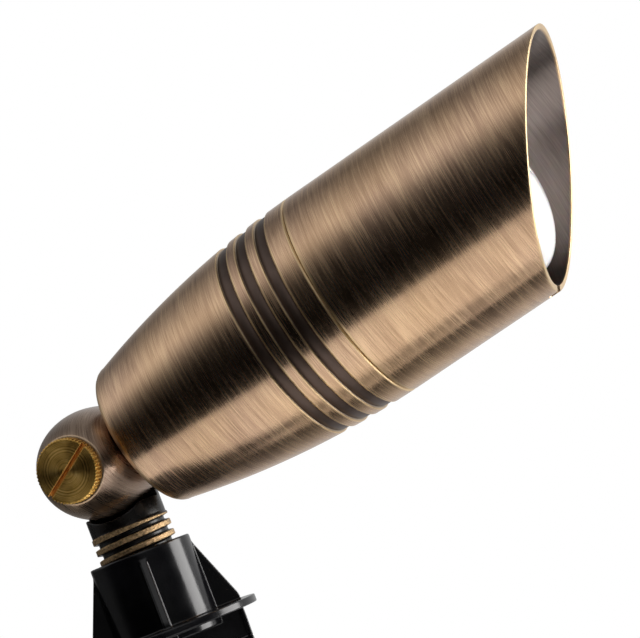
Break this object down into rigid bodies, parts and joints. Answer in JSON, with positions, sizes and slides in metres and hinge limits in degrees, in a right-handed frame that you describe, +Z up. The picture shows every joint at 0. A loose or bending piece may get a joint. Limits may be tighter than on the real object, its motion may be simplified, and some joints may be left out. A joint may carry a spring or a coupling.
{
  "type": "garden spike spotlight",
  "caption": "Brass bullet garden spotlight on a finned ground stake, with a tilting knuckle, a domed opal lens and a pull-off glare shroud with a slanted mouth.",
  "frame": {"origin": "on the stake's axis at ground level, where the underside of the round ground flange lies", "axes": "+Z up along the stake, +X towards the lamp's front at rest, -Y towards the clamp screw"},
  "size_m": [0.1748, 0.0584, 0.2979],
  "materials": {
    "stake_plastic": "black, moulded, glossy",
    "seal_rubber": "black, matt",
    "stem_brass": "cast, aged dark brown, rubbed on the thread's crests",
    "spring_steel": "stainless, satin",
    "bare_brass": "turned, raw",
    "knuckle_bronze": "aged, brushed, cool brown",
    "aged_bronze": "aged bronze, brushed round the axis, worn bright on the edges",
    "bracket_steel": "sheet, satin",
    "socket_ceramic": "white ceramic",
    "contact_brass": "plated",
    "lead_silicone": "pale silicone insulation",
    "lamp_aluminium": "cast, satin",
    "lamp_plastic": "white",
    "pin_steel": "plain",
    "source_ceramic": "yellow phosphor on ceramic",
    "lamp_cover": "frosted",
    "opal_glass": "opal white, glossy",
    "gasket_silicone": "grey silicone",
    "ring_brass": "turned, aged dark"
  },
  "bodies": {
    "stake": {"ground_stake": "stake_plastic", "exit_grommet": "seal_rubber"},
    "stem": {"knuckle_stem": "stem_brass", "stem_gland": "seal_rubber"},
    "washer": {"clamp_washer": "spring_steel"},
    "screw": {"clamp_screw": "bare_brass"},
    "head": {"head_knuckle": "knuckle_bronze", "knuckle_seal": "seal_rubber", "neck_gasket": "seal_rubber", "neck_washer": "spring_steel", "neck_nut": "bare_brass", "housing": "aged_bronze", "housing_seals": "seal_rubber", "socket_bracket": "bracket_steel", "bracket_screws": "spring_steel", "lamp_socket": "socket_ceramic", "socket_contacts": "contact_brass", "socket_leads": "lead_silicone", "lamp_body": "lamp_aluminium", "lamp_base": "lamp_plastic", "lamp_pins": "pin_steel", "lamp_source": "source_ceramic", "lamp_cover": "lamp_cover", "lamp_clip": "spring_steel", "lens": "opal_glass", "lens_gasket": "gasket_silicone", "lens_ring": "ring_brass"},
    "slide_seal": {"shroud_seal": "seal_rubber"},
    "hood": {"shroud": "aged_bronze"}
  },
  "joints": [
    {"name": "stem_turn", "type": "hinge", "parent": "stake", "child": "stem", "pos_m": [0, 0, 0.02], "axis": [0, 0, 1], "range_deg": [-180, 180]},
    {"name": "head_tilt", "type": "hinge", "parent": "stem", "child": "head", "pos_m": [0, 0, 0.0485], "axis": [0, 1, 0], "range_deg": [-170, 12]},
    {"name": "clamp_travel", "type": "slide", "parent": "stem", "child": "washer", "axis": [0, -1, 0], "range_m": [0, 0.004]},
    {"name": "clamp_turn", "type": "hinge", "parent": "washer", "child": "screw", "pos_m": [0, 0, 0.0485], "axis": [0, -1, 0], "range_deg": [0, 1440]},
    {"name": "shroud_pull", "type": "slide", "parent": "head", "child": "slide_seal", "axis": [0.9806, 0, 0.1959], "range_m": [0, 0.042]},
    {"name": "shroud_turn", "type": "hinge", "parent": "slide_seal", "child": "hood", "pos_m": [0, 0, 0.0485], "axis": [0.9806, 0, 0.1959], "continuous": true}
  ],
  "couplings": [
    {"joint": "clamp_travel", "follows": "clamp_turn", "m_per_rad": 0.00015915}
  ]
}
